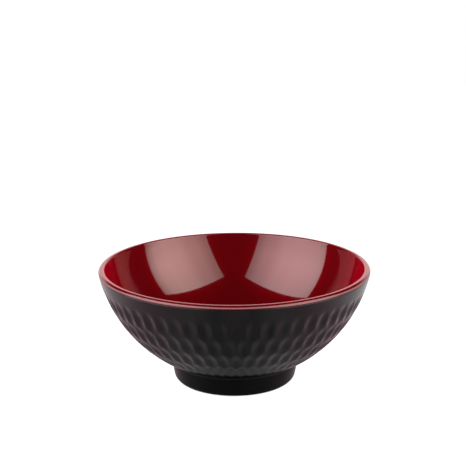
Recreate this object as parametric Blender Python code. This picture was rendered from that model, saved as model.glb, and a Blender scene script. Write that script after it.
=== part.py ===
"""Two-colour melamine bowl.

A black outer shell with a foot ring and rows of moulded hollows carries a red liner, which is bonded
inside it and wraps over its top edge as the lip. Metres, +Z up. The origin is on the table under the
centre of the bowl, and the top row has a hollow that faces -Y.
"""

import math

import bmesh
import bpy

# Overall size
RIM_RADIUS = 0.0900
HEIGHT = 0.0781

# Wall, from the outside in: black shell, bond line, red liner
SHELL_WALL = 0.0022
BOND_GAP = 0.0003
LINER_WALL = 0.0018

# Outside of the body: a wall arc from the lip to a shoulder by the foot, a tighter turn, a shallow floor
WALL_CURVE = 0.0921
SHOULDER_RADIUS = 0.0440
SHOULDER_HEIGHT = 0.0146
TURN_CURVE = 0.0180
BASE_HEIGHT = 0.0100

# Red lip over the shell's top edge
LIP_HEIGHT = 0.0024
LIP_OUTER_ROUND = 0.0020
LIP_INNER_ROUND = 0.0010

# Foot ring: its sides lean outwards and its recess narrows, both by a taper, from the table up
FOOT_RADIUS = 0.0400
FOOT_TAPER = 0.0027
FOOT_WALL = 0.0085
FOOT_OUTER_ROUND = 0.0055
FOOT_INNER_ROUND = 0.0012
FOOT_JOIN_ROUND = 0.0012
RECESS_TAPER = 0.0006
RECESS_ROUND = 0.0030

# Moulded hollows, in rows that are staggered by half a pitch, so that their ends interlock
HOLLOW_COUNT = 56
HOLLOW_LENGTH = 0.0180
HOLLOW_DEPTH = 0.0012
ROW_PITCH = 0.0148
SMOOTH_BAND = 0.0074
FOOT_BAND = 0.0072

# Fineness of the mesh
STEPS_ACROSS_HOLLOW = 4
STEPS_ALONG_HOLLOW = 4
RELIEF_SEGMENTS = HOLLOW_COUNT * STEPS_ACROSS_HOLLOW
ROUND_SEGMENTS = RELIEF_SEGMENTS // 2
HIDDEN_SEGMENTS = RELIEF_SEGMENTS // 4
WALL_STEPS = 5
TURN_STEPS = 3
FLOOR_STEPS = 2
ROUND_STEPS = 3
SHARP_ANGLE = math.radians(35)

# Levels and depths that follow
WALL = SHELL_WALL + BOND_GAP + LINER_WALL
LIP_BOTTOM = HEIGHT - LIP_HEIGHT
SHELL_TOP = LIP_BOTTOM - BOND_GAP
FIRST_ROW = SMOOTH_BAND + HOLLOW_LENGTH / 2

# Slopes of the outside at the lip and at the shoulder, from the chord between them
CHORD = (RIM_RADIUS - SHOULDER_RADIUS, LIP_BOTTOM - SHOULDER_HEIGHT)
CHORD_SLOPE = math.atan2(CHORD[1], CHORD[0])
HALF_BEND = math.asin(math.hypot(*CHORD) / 2 / WALL_CURVE)
LIP_SLOPE = CHORD_SLOPE + HALF_BEND
SHOULDER_SLOPE = CHORD_SLOPE - HALF_BEND


class Arc:
    """Arc of the body's section: its centre (radius, height) and how far its outside curves round it."""

    def __init__(self, centre, curve):
        self.centre = centre
        self.curve = curve

    def point(self, slope, inset):
        """Point where the arc has this slope, this far in from the outside."""
        reach = self.curve - inset
        return self.centre[0] + reach * math.sin(slope), self.centre[1] - reach * math.cos(slope)

    def slope_at_radius(self, radius):
        return math.asin((radius - self.centre[0]) / self.curve)

    def slope_at_height(self, height, inset):
        return math.acos((self.centre[1] - height) / (self.curve - inset))


def shoulder_arc(curve):
    """Arc of this curve that passes through the shoulder at the shoulder's slope."""
    run = curve * math.sin(SHOULDER_SLOPE)
    rise = curve * math.cos(SHOULDER_SLOPE)
    return Arc((SHOULDER_RADIUS - run, SHOULDER_HEIGHT + rise), curve)


def floor_arc(turn):
    """Arc that is level on the axis at the base's height and runs smoothly into the turn."""
    radius = turn.centre[0]
    rise = turn.centre[1] - BASE_HEIGHT
    curve = (radius**2 + rise**2 - turn.curve**2) / (rise - turn.curve) / 2
    return Arc((0, BASE_HEIGHT + curve), curve)


WALL_ARC = shoulder_arc(WALL_CURVE)
TURN_ARC = shoulder_arc(TURN_CURVE)
FLOOR_ARC = floor_arc(TURN_ARC)
FLOOR_SLOPE = math.asin(TURN_ARC.centre[0] / (FLOOR_ARC.curve - TURN_CURVE))
FLOOR_RADIUS = FLOOR_ARC.point(FLOOR_SLOPE, 0)[0]
WALL_LENGTH = WALL_CURVE * (LIP_SLOPE - SHOULDER_SLOPE)


def outside_below_lip(distance, inset):
    """Point at this distance below the lip along the outside, and this far in from it."""
    if distance <= WALL_LENGTH:
        return WALL_ARC.point(LIP_SLOPE - distance / WALL_CURVE, inset)
    return TURN_ARC.point(SHOULDER_SLOPE - (distance - WALL_LENGTH) / TURN_CURVE, inset)


def length_to_radius(radius):
    """Distance along the outside from the lip in to this radius of the wall or the turn."""
    if radius > SHOULDER_RADIUS:
        return WALL_CURVE * (LIP_SLOPE - WALL_ARC.slope_at_radius(radius))
    return WALL_LENGTH + TURN_CURVE * (SHOULDER_SLOPE - TURN_ARC.slope_at_radius(radius))


def underside(radius):
    """Point of the outside at this radius."""
    arc = TURN_ARC if radius > FLOOR_RADIUS else FLOOR_ARC
    if radius > SHOULDER_RADIUS:
        arc = WALL_ARC
    return arc.point(arc.slope_at_radius(radius), 0)


def spread(start, end, steps):
    return [start + (end - start) * step / steps for step in range(steps + 1)]


def bowl_face(inset, top):
    """Points of one face of the wall, from the middle of the floor out and up to this height."""
    top_slope = WALL_ARC.slope_at_height(top, inset)
    floor = [FLOOR_ARC.point(slope, inset) for slope in spread(0, FLOOR_SLOPE, FLOOR_STEPS)]
    turn = [TURN_ARC.point(slope, inset) for slope in spread(FLOOR_SLOPE, SHOULDER_SLOPE, TURN_STEPS)]
    wall = [WALL_ARC.point(slope, inset) for slope in spread(SHOULDER_SLOPE, top_slope, WALL_STEPS)]
    return floor + turn[1:] + wall[1:]


def unit(start, end):
    run = (end[0] - start[0], end[1] - start[1])
    length = math.hypot(*run)
    return run[0] / length, run[1] / length


def moved(start, direction, length):
    return start[0] + direction[0] * length, start[1] + direction[1] * length


def rounded(before, corner, after, radius):
    """Points of a round of this radius at the corner between two straight runs."""
    back = unit(corner, before)
    onward = unit(corner, after)
    half = math.acos(back[0] * onward[0] + back[1] * onward[1]) / 2
    middle = unit((0, 0), (back[0] + onward[0], back[1] + onward[1]))
    centre = moved(corner, middle, radius / math.sin(half))
    tangents = [moved(corner, direction, radius / math.tan(half)) for direction in (back, onward)]
    first, last = (math.atan2(point[1] - centre[1], point[0] - centre[0]) for point in tangents)
    bend = math.remainder(last - first, math.tau)
    angles = spread(first, first + bend, ROUND_STEPS)
    return [moved(centre, (math.cos(angle), math.sin(angle)), radius) for angle in angles]


def around(point, turn):
    """Place of a section's point after this turn round the axis from -Y."""
    return point[0] * math.sin(turn), -point[0] * math.cos(turn), point[1]


def turns(segments):
    return [math.tau * step / segments for step in range(segments)]


def ring(point, segments):
    """Points round the axis at one point of a section. A point on the axis stays a single one."""
    if point[0] == 0:
        return [around(point, 0)]
    return [around(point, turn) for turn in turns(segments)]


def hollow_depth(turn, distance, rows):
    """Depth of the hollows at this turn round the axis and this distance below the lip.

    Each hollow is deepest in its middle and runs out smoothly to its edge.
    """
    depth = 0
    for row in range(rows):
        along = (distance - FIRST_ROW - row * ROW_PITCH) / (HOLLOW_LENGTH / 2)
        place = turn / math.tau * HOLLOW_COUNT - row % 2 / 2
        across = 2 * (place - round(place))
        share = min(1, math.hypot(along, across))
        depth += HOLLOW_DEPTH * math.cos(math.pi / 2 * share) ** 2
    return depth


def relief_ring(distance, rows):
    """Points round the outside at this distance below the lip, sunk where the hollows are."""
    sunk = [(turn, hollow_depth(turn, distance, rows)) for turn in turns(RELIEF_SEGMENTS)]
    return [around(outside_below_lip(distance, depth), turn) for turn, depth in sunk]


def bridge(mesh, first, second):
    """Faces between two rings. The finer ring has a whole number of edges to each of the coarser."""
    fine, coarse = (first, second) if len(first) > len(second) else (second, first)
    share = 1 if len(coarse) == 1 else len(fine) // len(coarse)
    for start in range(0, len(fine), share):
        face = [fine[(start + step) % len(fine)] for step in range(share + 1)]
        place = start // share
        face.append(coarse[(place + 1) % len(coarse)])
        if len(coarse) > 1:
            face.append(coarse[place])
        mesh.faces.new(face)


def turned(name, rings, material):
    """Object whose skin runs through the rings, from one end of its axis to the other."""
    mesh = bmesh.new()
    loops = [[mesh.verts.new(point) for point in points] for points in rings]
    for first, second in zip(loops, loops[1:]):
        bridge(mesh, first, second)
    bmesh.ops.recalc_face_normals(mesh, faces=mesh.faces)
    data = bpy.data.meshes.new(name)
    mesh.to_mesh(data)
    mesh.free()
    data.shade_smooth()
    data.set_sharp_from_angle(angle=SHARP_ANGLE)
    data.materials.append(material)
    made = bpy.data.objects.new(name, data)
    bpy.context.scene.collection.objects.link(made)
    return made


def melamine(name, colour, roughness, coat):
    material = bpy.data.materials.new(name)
    material.use_nodes = True
    shader = material.node_tree.nodes["Principled BSDF"]
    shader.inputs["Base Color"].default_value = (*colour, 1)
    shader.inputs["Roughness"].default_value = roughness
    shader.inputs["Metallic"].default_value = 0
    shader.inputs["Coat Weight"].default_value = coat
    return material


def hollow_rows():
    """Rings of the hollowed band, with as many rows as fit above the foot, and where the band ends."""
    length = length_to_radius(FOOT_RADIUS + FOOT_TAPER)
    rows = 1 + int((length - SMOOTH_BAND - HOLLOW_LENGTH - FOOT_BAND) / ROW_PITCH)
    start = FIRST_ROW - ROW_PITCH / 2
    end = start + rows * ROW_PITCH
    distances = spread(start, end, rows * STEPS_ALONG_HOLLOW)
    return [relief_ring(distance, rows) for distance in distances], end


def foot(band_end):
    """Rings of the smooth underside and of the foot ring, in to the middle of its recess."""
    start_radius = outside_below_lip(band_end, 0)[0]
    under = [underside(radius) for radius in spread(start_radius, FOOT_RADIUS + FOOT_TAPER, TURN_STEPS)]
    recess_radius = FOOT_RADIUS - FOOT_WALL
    base_outer = (FOOT_RADIUS, 0)
    base_inner = (recess_radius, 0)
    ceiling = [underside(radius) for radius in spread(recess_radius - RECESS_TAPER, 0, FLOOR_STEPS)]
    shown = under[1:-1]
    shown += rounded(under[-2], under[-1], base_outer, FOOT_JOIN_ROUND)
    shown += rounded(under[-1], base_outer, base_inner, FOOT_OUTER_ROUND)
    hidden = rounded(base_outer, base_inner, ceiling[0], FOOT_INNER_ROUND)
    hidden += rounded(base_inner, ceiling[0], ceiling[1], RECESS_ROUND)
    hidden += ceiling[1:]
    rings = [ring(point, ROUND_SEGMENTS) for point in shown]
    return rings + [ring(point, HIDDEN_SEGMENTS) for point in hidden]


def outer_shell():
    """Black moulding: the bonded face, the top edge, the hollowed outside and the foot ring."""
    rings = [ring(point, HIDDEN_SEGMENTS) for point in bowl_face(SHELL_WALL, SHELL_TOP)]
    top_edge = WALL_ARC.point(WALL_ARC.slope_at_height(SHELL_TOP, 0), 0)
    rings.append(ring(top_edge, RELIEF_SEGMENTS))
    rows, band_end = hollow_rows()
    black = melamine("black_melamine", (0.014, 0.011, 0.012), roughness=0.42, coat=0)
    return turned("outer_shell", rings + rows + foot(band_end), black)


def inner_liner():
    """Red moulding: the upper face, the lip that caps the shell, and the bonded face."""
    upper = bowl_face(WALL, HEIGHT)
    outer_edge = (RIM_RADIUS, HEIGHT)
    lip_foot = (RIM_RADIUS, LIP_BOTTOM)
    lip = rounded(upper[-2], upper[-1], outer_edge, LIP_INNER_ROUND)
    lip += rounded(upper[-1], outer_edge, lip_foot, LIP_OUTER_ROUND)
    lip.append(lip_foot)
    bonded = bowl_face(SHELL_WALL + BOND_GAP, LIP_BOTTOM)
    rings = [ring(point, ROUND_SEGMENTS) for point in upper[:-1] + lip]
    rings += [ring(point, HIDDEN_SEGMENTS) for point in reversed(bonded)]
    red = melamine("red_melamine", (0.100, 0.0015, 0.0025), roughness=0.12, coat=0.3)
    return turned("inner_liner", rings, red)


for leftover in list(bpy.data.objects):
    bpy.data.objects.remove(leftover)
shell = outer_shell()
liner = inner_liner()
liner.parent = shell
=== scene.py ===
import math
import bpy
import numpy as np
from mathutils import Matrix, Vector


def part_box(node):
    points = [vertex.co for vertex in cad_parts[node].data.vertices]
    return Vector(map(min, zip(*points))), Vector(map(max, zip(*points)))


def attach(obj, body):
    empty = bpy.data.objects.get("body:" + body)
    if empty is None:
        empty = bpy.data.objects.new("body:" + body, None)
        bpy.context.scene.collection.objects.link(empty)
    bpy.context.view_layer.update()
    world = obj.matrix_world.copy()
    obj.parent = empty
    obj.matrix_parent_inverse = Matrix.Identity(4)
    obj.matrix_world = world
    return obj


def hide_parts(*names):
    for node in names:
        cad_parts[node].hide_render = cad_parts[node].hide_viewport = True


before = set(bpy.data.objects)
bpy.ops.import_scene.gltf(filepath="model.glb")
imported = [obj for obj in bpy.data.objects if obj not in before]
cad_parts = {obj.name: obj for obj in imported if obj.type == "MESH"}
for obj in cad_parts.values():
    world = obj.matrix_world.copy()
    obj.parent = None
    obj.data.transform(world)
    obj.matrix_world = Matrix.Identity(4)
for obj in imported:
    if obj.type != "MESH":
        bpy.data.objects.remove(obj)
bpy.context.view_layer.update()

# Overall size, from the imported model
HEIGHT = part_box("inner_liner")[1].z
RIM_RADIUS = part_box("inner_liner")[1].x

# Section of the bowl, as in the solids
SHELL_WALL = 0.0022
LINER_WALL = 0.0018
BOND_GAP = 0.0003
WALL_CURVE = 0.0921
SHOULDER_RADIUS = 0.0440
SHOULDER_HEIGHT = 0.0146
TURN_CURVE = 0.0180
BASE_HEIGHT = 0.0100
LIP_HEIGHT = 0.0024
LIP_OUTER_ROUND = 0.0020
LIP_INNER_ROUND = 0.0010
FOOT_RADIUS = 0.0400
FOOT_TAPER = 0.0027
FOOT_WALL = 0.0085
FOOT_OUTER_ROUND = 0.0055
FOOT_INNER_ROUND = 0.0012
FOOT_JOIN_ROUND = 0.0012
RECESS_TAPER = 0.0006
RECESS_ROUND = 0.0030

# The black edge meets the lip at a hairline, and has a small round of its own onto a short run. The rings of
# the smooth wall start a little below the lip
LIP_SEAM = 0.00004
SHELL_EDGE_ROUND = 0.00025
SHELL_EDGE_RUN = 0.0010
SHELL_EDGE_BAND = 0.0020

# Moulded hollows, in rows that are staggered by half a pitch. Their depth is given at one radius of the bowl,
# and goes with the radius, as their width does
HOLLOW_COUNT = 56
HOLLOW_ROWS = 4
HOLLOW_LENGTH = 0.0180
HOLLOW_DEPTH = 0.0012
HOLLOW_DEPTH_RADIUS = 0.080
ROW_PITCH = 0.0148
SMOOTH_BAND = 0.0074

# How a hollow deepens inward from its brim: the powers that round its middle and its brim
MIDDLE_POWER = 1.6
BRIM_POWER = 1.4

# Fineness of the meshes
STEPS_ACROSS_HOLLOW = 12
STEPS_ALONG_HOLLOW = 16
SHELL_SEGMENTS = HOLLOW_COUNT * STEPS_ACROSS_HOLLOW
LINER_SEGMENTS = 448
FACE_STEPS = 24
HIDDEN_STEPS = 4
ROUND_STEPS = 8

# Levels and slopes that follow
WALL = SHELL_WALL + BOND_GAP + LINER_WALL
LIP_BOTTOM = HEIGHT - LIP_HEIGHT
SHELL_TOP = LIP_BOTTOM - LIP_SEAM
FIRST_ROW = SMOOTH_BAND + HOLLOW_LENGTH / 2
HOLLOWS_END = FIRST_ROW + (HOLLOW_ROWS - 1) * ROW_PITCH + HOLLOW_LENGTH / 2
FOOT_JOIN_RADIUS = FOOT_RADIUS + FOOT_TAPER
RECESS_RADIUS = FOOT_RADIUS - FOOT_WALL
CHORD = (RIM_RADIUS - SHOULDER_RADIUS, LIP_BOTTOM - SHOULDER_HEIGHT)
CHORD_SLOPE = math.atan2(CHORD[1], CHORD[0])
HALF_BEND = math.asin(math.hypot(*CHORD) / 2 / WALL_CURVE)
LIP_SLOPE = CHORD_SLOPE + HALF_BEND
SHOULDER_SLOPE = CHORD_SLOPE - HALF_BEND

# Black melamine: its darkest and lightest colour, its roughness, its gloss, and its clouds and grain, which
# are in waves to the metre. The foot has a duller gloss, and a deeper black that is painted shade under the
# bowl
BLACK_COLOURS = ((0.0042, 0.0038, 0.0038), (0.0062, 0.0054, 0.0056))
BLACK_ROUGHNESS = (0.15, 0.19)
BLACK_IOR = 1.5
BLACK_SPECULAR = 0.5
BLACK_CLOUDS = 45
GRAIN_WAVES = 2600
GRAIN_HEIGHT = 0.00003
GRAIN_STRENGTH = 0.25
FOOT_SPECULAR = 0.16
FOOT_PAINTED_SHADE = 0.45

# Red melamine: its darkest and lightest colour, its roughness, the tints of its glancing reflection and of
# its sheen, and its clear glaze. The inside's glaze weakens between two looks, which run from facing at 0 to
# glancing at 1
RED_COLOURS = ((0.079, 0.0002, 0.0005), (0.085, 0.0004, 0.0009))
RED_ROUGHNESS = (0.31, 0.33)
RED_CLOUDS = 30
RED_METAL = 0.55
RED_GLANCE = (1, 0.06, 0.12)
SHEEN_ROUGHNESS = 0.59
SHEEN_TINT = (1, 0, 0.03)
GLAZE_IOR = 1.6
GLAZE_ROUGHNESS = 0.05
GLAZE_LOOKS = (0.32, 0.60)
GLAZE_WEIGHTS = (1, 0.8)
WALL_SHEEN = 1

# Lip: how far its top reaches down, and the finish there
LIP_TOP = 0.0003
LIP_SHEEN = 0.4
LIP_METAL = 0.2
LIP_GLAZE_IOR = 1.75

# Painted highlight round the lip's outer edge, a paler matt line: its finish, and how strong it is at shares
# of the lip's height
LIP_HIGHLIGHT_COLOUR = (0.33, 0.125, 0.135)
LIP_HIGHLIGHT_VALUES = {"Coat Weight": 0.12, "Metallic": 0}
LIP_HIGHLIGHT_BAND = ((0.22, 0), (0.42, 1), (0.55, 1), (0.78, 0))

# The melamines' colours and roughness run between their limits as a noise crosses these levels
CLOUD_DETAIL = 3
GRAIN_DETAIL = 2
COLOUR_LEVELS = (0.35, 0.65)
ROUGHNESS_LEVELS = (0.3, 0.7)

# Camera, fitted to the rim and the foot in the photo
CAMERA_DISTANCE = 0.7971
CAMERA_ELEVATION = math.radians(15.80)
CAMERA_PITCH = math.radians(14.26)
CAMERA_YAW = math.radians(-0.057)
CAMERA_ROLL = math.radians(0.318)
CAMERA_TURN = math.radians(-0.7)
CAMERA_LENS = 92.64
SENSOR_WIDTH = 36

# Softboxes beside the camera. Each has its place and its facing as azimuth and elevation in degrees, its roll
# in degrees, where its width and its height begin and end, its glow across and its colour. Widths and glows
# across run from the edge that is nearer the camera. The power is in watts to the square metre
SOFTBOX_DISTANCE = 0.90
SOFTBOX_POWER = 14.7
SOFTBOX_ALONG = ((0, 0.5), (0.25, 0.88), (0.5, 1.0), (1, 0.82))
SOFTBOXES = {
    "softbox_right": {
        "place": (72.1, 14.7),
        "facing": (31.8, 20.0),
        "roll": 11.2,
        "width": (-0.628, 0.608),
        "height": (-0.30, 0.578),
        "across": ((0, 0.42), (0.15, 0.68), (0.35, 0.95), (0.5, 1.0), (0.7, 0.92), (0.87, 0.67), (1, 0.38)),
        "colour": (1, 1, 0.93),
    },
    "softbox_left": {
        "place": (-71.4, 19.8),
        "facing": (-48.0, 23.6),
        "roll": -0.9,
        "width": (-0.690, 0.655),
        "height": (-0.38, 0.553),
        "across": ((0, 0.42), (0.15, 0.68), (0.35, 0.96), (0.5, 1.0), (0.75, 0.94), (0.9, 0.83), (1, 0.69)),
        "colour": (1, 1, 1),
    },
}

# Surroundings that light the bowl and show in its gloss: bright behind it, grey beside that and dark in
# front, by the share of a direction that points back, and dark over the backdrop's top
SURROUNDINGS = (
    (0.45, (0.02, 0.02, 0.02)),
    (0.60, (0.4, 0.4, 0.4)),
    (0.75, (0.9, 0.9, 0.9)),
    (0.90, (1.3, 1.3, 1.3)),
)
BACKDROP_TOP = (math.radians(19), math.radians(26))
DARK = (0.015, 0.015, 0.015)
WHITE = (1, 1, 1)
BLACK = (0, 0, 0)

# Stage floor: how far it reaches, its finish, how bright the camera sees it where no light falls, and between
# which distances from the bowl that rises to white
STAGE_REACH = 1.5
STAGE_COLOUR = (0.5, 0.45, 0.46)
STAGE_ROUGHNESS = 0.9
STAGE_LIFT = 0.92
STAGE_FADE = (0.3, 1.2)

# A painted contact shadow makes the stage floor dark under the foot, and clears between two radii. In the
# gloss the floor glows as a painted reflection, which goes by shares of a span, which runs aside from the
# middle, a little backward and a little to the right
CONTACT_SHADOW_RADII = (0.034, 0.046)
CONTACT_SHADOW_COLOUR = (0.02, 0.02, 0.02)
SHINE_BACKWARD = 0.4
SHINE_RIGHTWARD = 0.1
SHINE_SPAN = (-0.15, 0.35)
STAGE_PAINTED_REFLECTION = (
    (0.06, (0.26, 0.17, 0.19)),
    (0.16, (0.30, 0.225, 0.245)),
    (0.24, (0.17, 0.17, 0.17)),
    (0.33, (0.33, 0.315, 0.32)),
    (0.43, (0.39, 0.29, 0.325)),
    (0.56, (0.56, 0.40, 0.46)),
    (0.70, (0.80, 0.72, 0.75)),
    (0.79, (0.90, 0.89, 0.89)),
    (1.00, (1.1, 1.1, 1.1)),
)


class Arc:
    """Arc of the body's section: its centre (radius, height) and how far its outside curves round it."""

    def __init__(self, centre, curve):
        self.centre = centre
        self.curve = curve

    def point(self, slope, inset=0):
        """Point where the arc has this slope, this far in from the outside."""
        reach = self.curve - inset
        return self.centre[0] + reach * math.sin(slope), self.centre[1] - reach * math.cos(slope)

    def slope_at_radius(self, radius):
        return math.asin((radius - self.centre[0]) / self.curve)

    def slope_at_height(self, height, inset=0):
        return math.acos((self.centre[1] - height) / (self.curve - inset))


def shoulder_arc(curve):
    """Arc of this curve that passes through the shoulder at the shoulder's slope."""
    run = curve * math.sin(SHOULDER_SLOPE)
    rise = curve * math.cos(SHOULDER_SLOPE)
    return Arc((SHOULDER_RADIUS - run, SHOULDER_HEIGHT + rise), curve)


def floor_arc(turn):
    """Arc that is level on the axis at the base's height and runs smoothly into the turn."""
    radius = turn.centre[0]
    rise = turn.centre[1] - BASE_HEIGHT
    curve = (radius**2 + rise**2 - turn.curve**2) / (rise - turn.curve) / 2
    return Arc((0, BASE_HEIGHT + curve), curve)


WALL_ARC = shoulder_arc(WALL_CURVE)
TURN_ARC = shoulder_arc(TURN_CURVE)
FLOOR_ARC = floor_arc(TURN_ARC)
FLOOR_SLOPE = math.asin(TURN_ARC.centre[0] / (FLOOR_ARC.curve - TURN_CURVE))
FLOOR_RADIUS = FLOOR_ARC.point(FLOOR_SLOPE)[0]
WALL_LENGTH = WALL_CURVE * (LIP_SLOPE - SHOULDER_SLOPE)
LIP_INNER_RADIUS = WALL_ARC.point(WALL_ARC.slope_at_height(HEIGHT, WALL), WALL)[0]


def slope_below_lip(distance):
    """Arc of the outside, and its slope, at this distance below the lip."""
    if distance <= WALL_LENGTH:
        return WALL_ARC, LIP_SLOPE - distance / WALL_CURVE
    return TURN_ARC, SHOULDER_SLOPE - (distance - WALL_LENGTH) / TURN_CURVE


def underside(radius):
    """Point of the outside at this radius."""
    arc = TURN_ARC if radius > FLOOR_RADIUS else FLOOR_ARC
    if radius > SHOULDER_RADIUS:
        arc = WALL_ARC
    return arc.point(arc.slope_at_radius(radius))


def bowl_face(inset, top, steps):
    """Points of one face of the wall, from the middle of the floor out and up to this height."""
    top_slope = WALL_ARC.slope_at_height(top, inset)
    floor = [FLOOR_ARC.point(slope, inset) for slope in np.linspace(0, FLOOR_SLOPE, steps)]
    turn = [TURN_ARC.point(slope, inset) for slope in np.linspace(FLOOR_SLOPE, SHOULDER_SLOPE, steps)]
    wall = [WALL_ARC.point(slope, inset) for slope in np.linspace(SHOULDER_SLOPE, top_slope, 2 * steps)]
    return floor + turn[1:] + wall[1:]


def rounded(before, corner, after, radius):
    """Points of a round of this radius at the corner between two straight runs."""
    corner = Vector(corner)
    back = (Vector(before) - corner).normalized()
    onward = (Vector(after) - corner).normalized()
    half = back.angle(onward) / 2
    centre = corner + (back + onward).normalized() * radius / math.sin(half)
    reach = radius / math.tan(half)
    first, last = (corner + way * reach - centre for way in (back, onward))
    start = math.atan2(first.y, first.x)
    bend = math.remainder(math.atan2(last.y, last.x) - start, math.tau)
    angles = np.linspace(start, start + bend, ROUND_STEPS + 1)
    return [(centre.x + radius * math.cos(angle), centre.y + radius * math.sin(angle)) for angle in angles]


def turns_round(segments):
    """Angles round the axis, from the front."""
    return np.linspace(0, math.tau, segments, endpoint=False)


def ring(point, segments):
    """Points round the axis at one point of a section."""
    turns = turns_round(segments)
    heights = np.full(segments, point[1])
    return np.stack([point[0] * np.sin(turns), -point[0] * np.cos(turns), heights], axis=1)


def hollow_ring(distance, segments):
    """Points round the outside at this distance below the lip, sunk where the hollows are."""
    turns = turns_round(segments)
    arc, slope = slope_below_lip(distance)
    deepest = HOLLOW_DEPTH * arc.point(slope)[0] / HOLLOW_DEPTH_RADIUS
    depth = np.zeros(segments)
    for row in range(HOLLOW_ROWS):
        along = (distance - FIRST_ROW - row * ROW_PITCH) / (HOLLOW_LENGTH / 2)
        place = turns / math.tau * HOLLOW_COUNT - row % 2 / 2
        across = (place - np.round(place)) * 2
        share = np.minimum(np.hypot(along, across), 1)
        depth += deepest * (1 - share**MIDDLE_POWER)**BRIM_POWER
    reach = arc.curve - depth
    radii = arc.centre[0] + reach * math.sin(slope)
    heights = arc.centre[1] - reach * math.cos(slope)
    return np.stack([radii * np.sin(turns), -radii * np.cos(turns), heights], axis=1)


def turned(name, rings, material, node):
    """Piece whose skin runs through the rings, from a first to a last one that lie on the axis."""
    segments = len(rings[0])
    inner = np.concatenate(rings[1:-1])
    points = np.concatenate([inner, rings[0][:1], rings[-1][:1]])
    here = np.arange(segments)
    following = (here + 1) % segments
    faces = []
    for level in range(len(rings) - 3):
        base = level * segments
        quads = [base + here, base + following, base + segments + following, base + segments + here]
        faces += np.stack(quads, axis=1).tolist()
    first, last = len(inner), len(inner) + 1
    base = first - segments
    faces += [[first, int(b), int(a)] for a, b in zip(here, following)]
    faces += [[last, int(a), int(b)] for a, b in zip(base + here, base + following)]
    data = bpy.data.meshes.new(name)
    data.from_pydata(points.tolist(), [], faces)
    data.update()
    data.shade_smooth()
    data.materials.append(material)
    piece = bpy.data.objects.new(name, data)
    bpy.context.scene.collection.objects.link(piece)
    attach(piece, "root")
    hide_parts(node)
    return piece


def shell_rings():
    """Rings of the black moulding, from the bonded face over the top edge and down to the recess."""
    hidden = bowl_face(SHELL_WALL, SHELL_TOP, HIDDEN_STEPS)
    edge_slope = WALL_ARC.slope_at_height(SHELL_TOP)
    edge = WALL_ARC.point(edge_slope)
    below_edge = WALL_ARC.point(edge_slope - SHELL_EDGE_RUN / WALL_CURVE)
    bands = np.linspace(SHELL_EDGE_BAND, SMOOTH_BAND, FACE_STEPS // 2)
    smooth = [WALL_ARC.point(LIP_SLOPE - band / WALL_CURVE) for band in bands]
    distances = np.linspace(SMOOTH_BAND, HOLLOWS_END, HOLLOW_ROWS * STEPS_ALONG_HOLLOW)[1:]
    upper = hidden + rounded(hidden[-1], edge, below_edge, SHELL_EDGE_ROUND) + smooth
    rings = [ring(point, SHELL_SEGMENTS) for point in upper]
    rings += [hollow_ring(distance, SHELL_SEGMENTS) for distance in distances]
    return rings + [ring(point, SHELL_SEGMENTS) for point in foot_section()]


def foot_section():
    """Points of the smooth underside and of the foot ring, in to the middle of its recess."""
    arc, slope = slope_below_lip(HOLLOWS_END)
    steps = FACE_STEPS // 4
    under = [underside(radius) for radius in np.linspace(arc.point(slope)[0], FOOT_JOIN_RADIUS, steps)]
    base_outer = (FOOT_RADIUS, 0)
    base_inner = (RECESS_RADIUS, 0)
    ceiling = [underside(radius) for radius in np.linspace(RECESS_RADIUS - RECESS_TAPER, 0, steps)]
    section = under[1:-1]
    section += rounded(under[-2], under[-1], base_outer, FOOT_JOIN_ROUND)
    section += rounded(under[-1], base_outer, base_inner, FOOT_OUTER_ROUND)
    section += rounded(base_outer, base_inner, ceiling[0], FOOT_INNER_ROUND)
    section += rounded(base_inner, ceiling[0], ceiling[1], RECESS_ROUND)
    return section + ceiling[1:]


def liner_rings():
    """Rings of the red moulding, from its upper face over the lip and down its bonded face."""
    upper = bowl_face(WALL, HEIGHT, FACE_STEPS)
    outer_edge = (RIM_RADIUS, HEIGHT)
    lip_foot = (RIM_RADIUS, LIP_BOTTOM)
    bonded = bowl_face(SHELL_WALL + BOND_GAP, LIP_BOTTOM, HIDDEN_STEPS)
    section = upper[:-1]
    section += rounded(upper[-2], upper[-1], outer_edge, LIP_INNER_ROUND)
    section += rounded(upper[-1], outer_edge, lip_foot, LIP_OUTER_ROUND)
    section += rounded(outer_edge, lip_foot, bonded[-1], SHELL_EDGE_ROUND)
    section += reversed(bonded)
    return [ring(point, LINER_SEGMENTS) for point in section]


def principled(name):
    material = bpy.data.materials.new(name)
    material.use_nodes = True
    return material, material.node_tree, material.node_tree.nodes["Principled BSDF"]


def coordinates(tree, kind="Object"):
    """Place in the object's own metres, or another kind of coordinates."""
    return tree.nodes.new("ShaderNodeTexCoord").outputs[kind]


def split(tree, vector):
    """Sockets of a vector's X, Y and Z."""
    node = tree.nodes.new("ShaderNodeSeparateXYZ")
    tree.links.new(vector, node.inputs["Vector"])
    return node.outputs


def noise(tree, scale, detail):
    """Noise in the object's own metres, with this many waves to the metre."""
    texture = tree.nodes.new("ShaderNodeTexNoise")
    texture.inputs["Scale"].default_value = scale
    texture.inputs["Detail"].default_value = detail
    tree.links.new(coordinates(tree), texture.inputs["Vector"])
    return texture.outputs["Fac"]


def spread(tree, source, span, levels=(0, 1), smooth=False):
    """Value that runs from one level to the other as the source crosses a span."""
    node = tree.nodes.new("ShaderNodeMapRange")
    if smooth:
        node.interpolation_type = "SMOOTHSTEP"
    for name, value in zip(("From Min", "From Max", "To Min", "To Max"), (*span, *levels)):
        node.inputs[name].default_value = value
    tree.links.new(source, node.inputs["Value"])
    return node.outputs["Result"]


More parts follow.
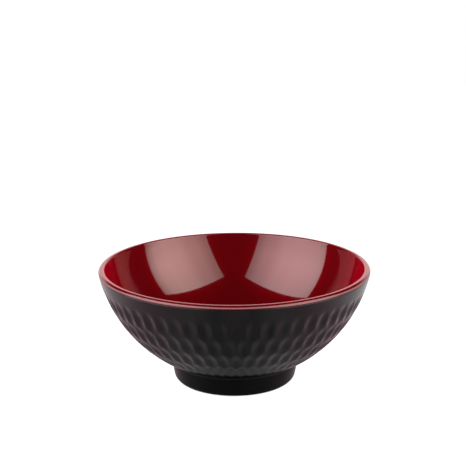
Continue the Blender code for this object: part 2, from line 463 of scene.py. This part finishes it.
def ramp(tree, source, stops, interpolation="LINEAR"):
    """Colour that runs through these stops, each a position and a colour, as the source goes from 0 to 1."""
    node = tree.nodes.new("ShaderNodeValToRGB")
    node.color_ramp.interpolation = interpolation
    elements = node.color_ramp.elements
    for _ in range(len(stops) - 2):
        elements.new(0.5)
    for element, (position, colour) in zip(elements, stops):
        element.position = position
        element.color = (*colour, 1)
    tree.links.new(source, node.inputs["Fac"])
    return node.outputs["Color"]


def profile(tree, source, stops):
    """Level that eases through these stops, each a position and a level, as the source goes from 0 to 1."""
    return ramp(tree, source, [(position, (level, level, level)) for position, level in stops], "EASE")


def blend(tree, share, first, second):
    """Colour that runs from the first to the second, each a colour or a socket, as a share goes up to 1."""
    node = tree.nodes.new("ShaderNodeMix")
    node.data_type = "RGBA"
    tree.links.new(share, node.inputs["Factor"])
    for socket, colour in ((node.inputs["A"], first), (node.inputs["B"], second)):
        if isinstance(colour, tuple):
            socket.default_value = (*colour, 1)
        else:
            tree.links.new(colour, socket)
    return node.outputs["Result"]


def calculate(tree, operation, *values):
    """Result of one operation on values, each a number or a socket."""
    node = tree.nodes.new("ShaderNodeMath")
    node.operation = operation
    for socket, value in zip(node.inputs, values):
        if isinstance(value, float):
            socket.default_value = value
        else:
            tree.links.new(value, socket)
    return node.outputs["Value"]


def cloud(tree, shader, scale, colours, roughness):
    """Let a shader's colour and roughness change a little over the surface with a noise."""
    source = noise(tree, scale, CLOUD_DETAIL)
    tree.links.new(ramp(tree, source, tuple(zip(COLOUR_LEVELS, colours))), shader.inputs["Base Color"])
    tree.links.new(spread(tree, source, ROUGHNESS_LEVELS, roughness), shader.inputs["Roughness"])


def black_melamine(name, specular, shade):
    """Matt black: a fine moulded grain, and a finish that changes a little over the surface."""
    material, tree, shader = principled(name)
    shader.inputs["IOR"].default_value = BLACK_IOR
    shader.inputs["Specular IOR Level"].default_value = specular
    # Colours darkened by the shade factor: below 1 it is painted shade, as on the foot under the bowl
    colours = [tuple(part * shade for part in colour) for colour in BLACK_COLOURS]
    cloud(tree, shader, BLACK_CLOUDS, colours, BLACK_ROUGHNESS)
    grain = tree.nodes.new("ShaderNodeBump")
    grain.inputs["Distance"].default_value = GRAIN_HEIGHT
    grain.inputs["Strength"].default_value = GRAIN_STRENGTH
    tree.links.new(noise(tree, GRAIN_WAVES, GRAIN_DETAIL), grain.inputs["Height"])
    tree.links.new(grain.outputs["Normal"], shader.inputs["Normal"])
    return material


def red_melamine(name, sheen):
    """Glossy deep red: a clear glaze over a red that turns a glancing reflection red too."""
    material, tree, shader = principled(name)
    shader.inputs["Specular IOR Level"].default_value = 0
    shader.inputs["Specular Tint"].default_value = (*RED_GLANCE, 1)
    shader.inputs["Metallic"].default_value = RED_METAL
    shader.inputs["Coat Weight"].default_value = 1
    shader.inputs["Coat Roughness"].default_value = GLAZE_ROUGHNESS
    shader.inputs["Coat IOR"].default_value = GLAZE_IOR
    shader.inputs["Sheen Weight"].default_value = sheen
    shader.inputs["Sheen Roughness"].default_value = SHEEN_ROUGHNESS
    shader.inputs["Sheen Tint"].default_value = (*SHEEN_TINT, 1)
    cloud(tree, shader, RED_CLOUDS, RED_COLOURS, RED_ROUGHNESS)
    return material, tree, shader


def wall_melamine():
    """Red of the inside, where the glaze weakens at a glancing look."""
    material, tree, shader = red_melamine("wall_melamine", WALL_SHEEN)
    look = tree.nodes.new("ShaderNodeLayerWeight")
    glaze = spread(tree, look.outputs["Facing"], GLAZE_LOOKS, GLAZE_WEIGHTS, smooth=True)
    tree.links.new(glaze, shader.inputs["Coat Weight"])
    return material


def lip_melamine():
    """Red of the lip's top, with a stronger glaze."""
    material, _, shader = red_melamine("lip_melamine", LIP_SHEEN)
    shader.inputs["Metallic"].default_value = LIP_METAL
    shader.inputs["Coat IOR"].default_value = LIP_GLAZE_IOR
    return material


def edge_melamine():
    """Red of the lip's outer edge, with a paler, matt line painted on as a highlight."""
    material, tree, shader = red_melamine("edge_melamine", 0)
    height = spread(tree, split(tree, coordinates(tree))["Z"], (LIP_BOTTOM, HEIGHT))
    # Paler band painted on as a highlight along the lip's outer edge
    painted_highlight = profile(tree, height, LIP_HIGHLIGHT_BAND)
    red = shader.inputs["Base Color"].links[0].from_socket
    tree.links.new(blend(tree, painted_highlight, red, LIP_HIGHLIGHT_COLOUR), shader.inputs["Base Color"])
    for name, value in LIP_HIGHLIGHT_VALUES.items():
        socket = shader.inputs[name]
        tree.links.new(spread(tree, painted_highlight, (0, 1), (socket.default_value, value)), socket)
    return material


def paint_foot(data):
    """Give the shell's foot ring a duller gloss, and a darker black as painted shade under the bowl."""
    # The foot's darker black is painted shade under the bowl; its weaker gloss is its finish
    data.materials.append(black_melamine("foot_melamine_painted_shade", FOOT_SPECULAR, FOOT_PAINTED_SHADE))
    foot_top = underside(FOOT_JOIN_RADIUS)[1]
    for face in data.polygons:
        radius = math.hypot(face.center.x, face.center.y)
        if face.center.z < foot_top and radius < FOOT_JOIN_RADIUS:
            face.material_index = 1


def paint_lip(data):
    """Give the liner's lip materials of its own: one on its top and one on its outer edge."""
    data.materials.append(lip_melamine())
    data.materials.append(edge_melamine())
    for face in data.polygons:
        radius = math.hypot(face.center.x, face.center.y)
        if face.center.z > HEIGHT - LIP_TOP and radius > LIP_INNER_RADIUS:
            face.material_index = 1
        elif face.center.z > LIP_BOTTOM and radius > RIM_RADIUS - LIP_OUTER_ROUND:
            face.material_index = 2


def place_camera():
    data = bpy.data.cameras.new("camera")
    data.lens = CAMERA_LENS
    data.sensor_width = SENSOR_WIDTH
    camera = bpy.data.objects.new("camera", data)
    bpy.context.scene.collection.objects.link(camera)
    level = math.cos(CAMERA_PITCH)
    forward = Vector((math.sin(CAMERA_YAW) * level, math.cos(CAMERA_YAW) * level, -math.sin(CAMERA_PITCH)))
    right = forward.cross(Vector((0, 0, 1))).normalized()
    facing = Matrix((right, right.cross(forward), -forward)).transposed().to_4x4()
    facing @= Matrix.Rotation(-CAMERA_ROLL, 4, "Z")
    back = Vector((0, -math.cos(CAMERA_ELEVATION), math.sin(CAMERA_ELEVATION))) * CAMERA_DISTANCE
    place = Matrix.Translation(Vector((0, 0, HEIGHT)) + back)
    camera.matrix_world = Matrix.Rotation(CAMERA_TURN, 4, "Z") @ place @ facing
    bpy.context.scene.camera = camera


def direction(azimuth, elevation):
    """Direction from the bowl by degrees, where azimuth 0 is to the front and a positive one to the right."""
    azimuth = math.radians(azimuth)
    elevation = math.radians(elevation)
    level = math.cos(elevation)
    return Vector((math.sin(azimuth) * level, -math.cos(azimuth) * level, math.sin(elevation)))


def softbox(name, place, facing, roll, width, height, across, colour):
    """Softbox that is brightest in its middle, and whose edges lie unevenly about its place."""
    side = math.copysign(1, place[0])
    facing = direction(*facing)
    roll = math.radians(roll)
    level = Vector((0, 0, 1)).cross(facing).normalized()
    upright = facing.cross(level)
    right = level * math.cos(roll) + upright * math.sin(roll)
    up = upright * math.cos(roll) - level * math.sin(roll)
    centre = Vector((0, 0, HEIGHT)) + direction(*place) * SOFTBOX_DISTANCE
    centre += right * sum(width) / 2 * side + up * sum(height) / 2
    size = (width[1] - width[0], height[1] - height[0])
    data = bpy.data.lights.new(name, "AREA")
    data.shape = "RECTANGLE"
    data.size, data.size_y = size
    data.energy = SOFTBOX_POWER * size[0] * size[1]
    data.color = colour
    if side < 0:
        across = [(1 - at, glow) for at, glow in reversed(across)]
    paint_softbox(data, across)
    light = bpy.data.objects.new(name, data)
    turn = (-facing).to_track_quat("-Z", "Y").to_matrix().to_4x4()
    light.matrix_world = Matrix.Translation(centre) @ turn @ Matrix.Rotation(roll, 4, "Z")
    bpy.context.scene.collection.objects.link(light)


def paint_softbox(data, across):
    """Let a softbox glow by these stops across its width, and as all softboxes do up its height."""
    data.use_nodes = True
    tree = data.node_tree
    geometry = tree.nodes.new("ShaderNodeNewGeometry")
    place = split(tree, geometry.outputs["Parametric"])
    glow = calculate(
        tree,
        "MULTIPLY",
        profile(tree, place["X"], across),
        profile(tree, place["Y"], SOFTBOX_ALONG),
    )
    tree.links.new(glow, tree.nodes["Emission"].inputs["Strength"])


def paint_surroundings():
    """Surroundings that the camera sees as white, and the bowl as a bright backdrop behind it."""
    world = bpy.data.worlds.new("surroundings")
    bpy.context.scene.world = world
    world.use_nodes = True
    tree = world.node_tree
    tree.nodes.clear()
    toward = split(tree, coordinates(tree, "Generated"))
    behind = ramp(tree, toward["Y"], SURROUNDINGS)
    top, dark_from = (math.sin(elevation) for elevation in BACKDROP_TOP)
    low = spread(tree, toward["Z"], (dark_from, top), smooth=True)
    path = tree.nodes.new("ShaderNodeLightPath")
    seen = blend(tree, path.outputs["Is Camera Ray"], blend(tree, low, DARK, behind), WHITE)
    background = tree.nodes.new("ShaderNodeBackground")
    tree.links.new(seen, background.inputs["Color"])
    output = tree.nodes.new("ShaderNodeOutputWorld")
    tree.links.new(background.outputs["Background"], output.inputs["Surface"])


def paint_stage():
    """Pale finish that the camera sees as white where nothing shades it, with a painted contact shadow, and
    that glows in the gloss as a painted reflection of its own.
    """
    material, tree, shader = principled("floor")
    place = coordinates(tree)
    parts = split(tree, place)
    aside = calculate(tree, "ABSOLUTE", parts["X"])
    outward = calculate(tree, "MULTIPLY_ADD", parts["Y"], SHINE_BACKWARD, aside)
    outward = calculate(tree, "MULTIPLY_ADD", parts["X"], SHINE_RIGHTWARD, outward)
    # Painted reflection: the floor glows only in the gloss, by these stops, and has no colour of its own
    # there
    painted_reflection = ramp(tree, spread(tree, outward, SHINE_SPAN), STAGE_PAINTED_REFLECTION)
    away = tree.nodes.new("ShaderNodeVectorMath")
    away.operation = "LENGTH"
    tree.links.new(place, away.inputs[0])
    # Painted contact shadow: the floor is dark under the foot and clears outward
    clear = spread(tree, away.outputs["Value"], CONTACT_SHADOW_RADII, smooth=True)
    lift = spread(tree, away.outputs["Value"], STAGE_FADE, (STAGE_LIFT, 1), smooth=True)
    path = tree.nodes.new("ShaderNodeLightPath")
    glossy = path.outputs["Is Glossy Ray"]
    lit = blend(tree, clear, CONTACT_SHADOW_COLOUR, STAGE_COLOUR)
    mirrored = blend(tree, clear, CONTACT_SHADOW_COLOUR, painted_reflection)
    glow = calculate(tree, "MULTIPLY_ADD", path.outputs["Is Camera Ray"], lift, glossy)
    tree.links.new(blend(tree, glossy, lit, BLACK), shader.inputs["Base Color"])
    tree.links.new(blend(tree, glossy, WHITE, mirrored), shader.inputs["Emission Color"])
    tree.links.new(glow, shader.inputs["Emission Strength"])
    shader.inputs["Roughness"].default_value = STAGE_ROUGHNESS
    shader.inputs["Specular IOR Level"].default_value = 0
    return material


def lay_floor():
    data = bpy.data.meshes.new("floor")
    corners = [(x * STAGE_REACH, y * STAGE_REACH, 0) for x, y in ((-1, -1), (1, -1), (1, 1), (-1, 1))]
    data.from_pydata(corners, [], [(0, 1, 2, 3)])
    data.materials.append(paint_stage())
    floor = bpy.data.objects.new("floor", data)
    bpy.context.scene.collection.objects.link(floor)


bpy.context.scene.view_settings.view_transform = "Standard"
shell_black = black_melamine("black_melamine", BLACK_SPECULAR, shade=1)
shell = turned("shell_skin", shell_rings(), shell_black, "outer_shell")
paint_foot(shell.data)
liner = turned("liner_skin", liner_rings(), wall_melamine(), "inner_liner")
paint_lip(liner.data)
place_camera()
for softbox_name, softbox_values in SOFTBOXES.items():
    softbox(softbox_name, **softbox_values)
paint_surroundings()
lay_floor()
